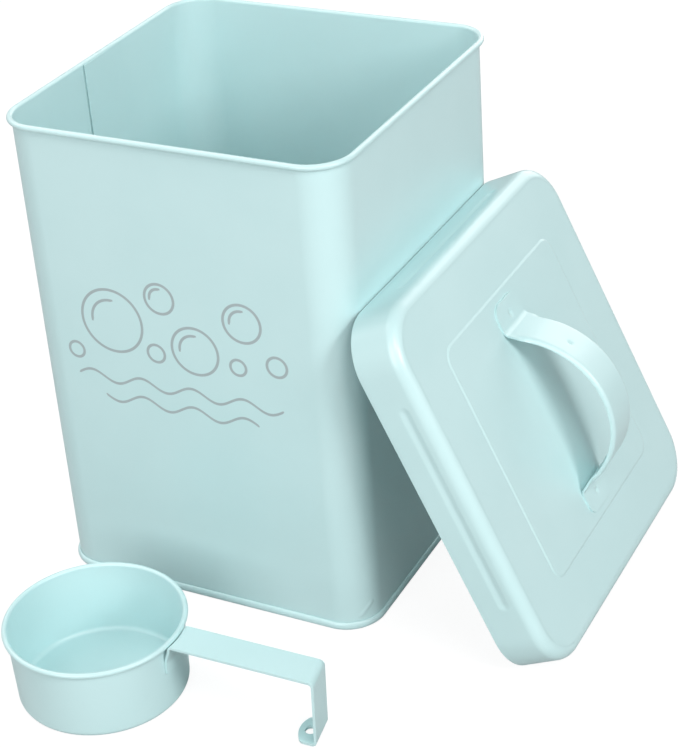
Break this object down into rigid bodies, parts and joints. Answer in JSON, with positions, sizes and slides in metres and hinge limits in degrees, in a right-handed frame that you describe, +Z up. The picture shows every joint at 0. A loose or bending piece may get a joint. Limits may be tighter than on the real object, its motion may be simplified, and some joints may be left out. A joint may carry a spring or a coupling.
{
  "type": "laundry powder bucket",
  "caption": "Square sheet-metal laundry powder bucket with a rolled rim, its lift-off handled lid leaning beside it, and a strap-handled measuring scoop.",
  "frame": {"origin": "middle of the bucket's base, at floor level", "axes": "+Z up, -Y is the bucket's front, +X is the side that the lid leans on"},
  "size_m": [0.2692, 0.293, 0.24],
  "materials": {
    "bucket_paint": "satin mint paint",
    "lid_paint": "satin mint paint",
    "scoop_paint": "satin mint paint"
  },
  "bodies": {
    "root": {"bucket_wall": "bucket_paint", "bucket_base": "bucket_paint", "lid_shell": "lid_paint", "lid_handle": "lid_paint", "scoop_cup": "scoop_paint", "scoop_handle": "scoop_paint"}
  },
  "joints": []
}
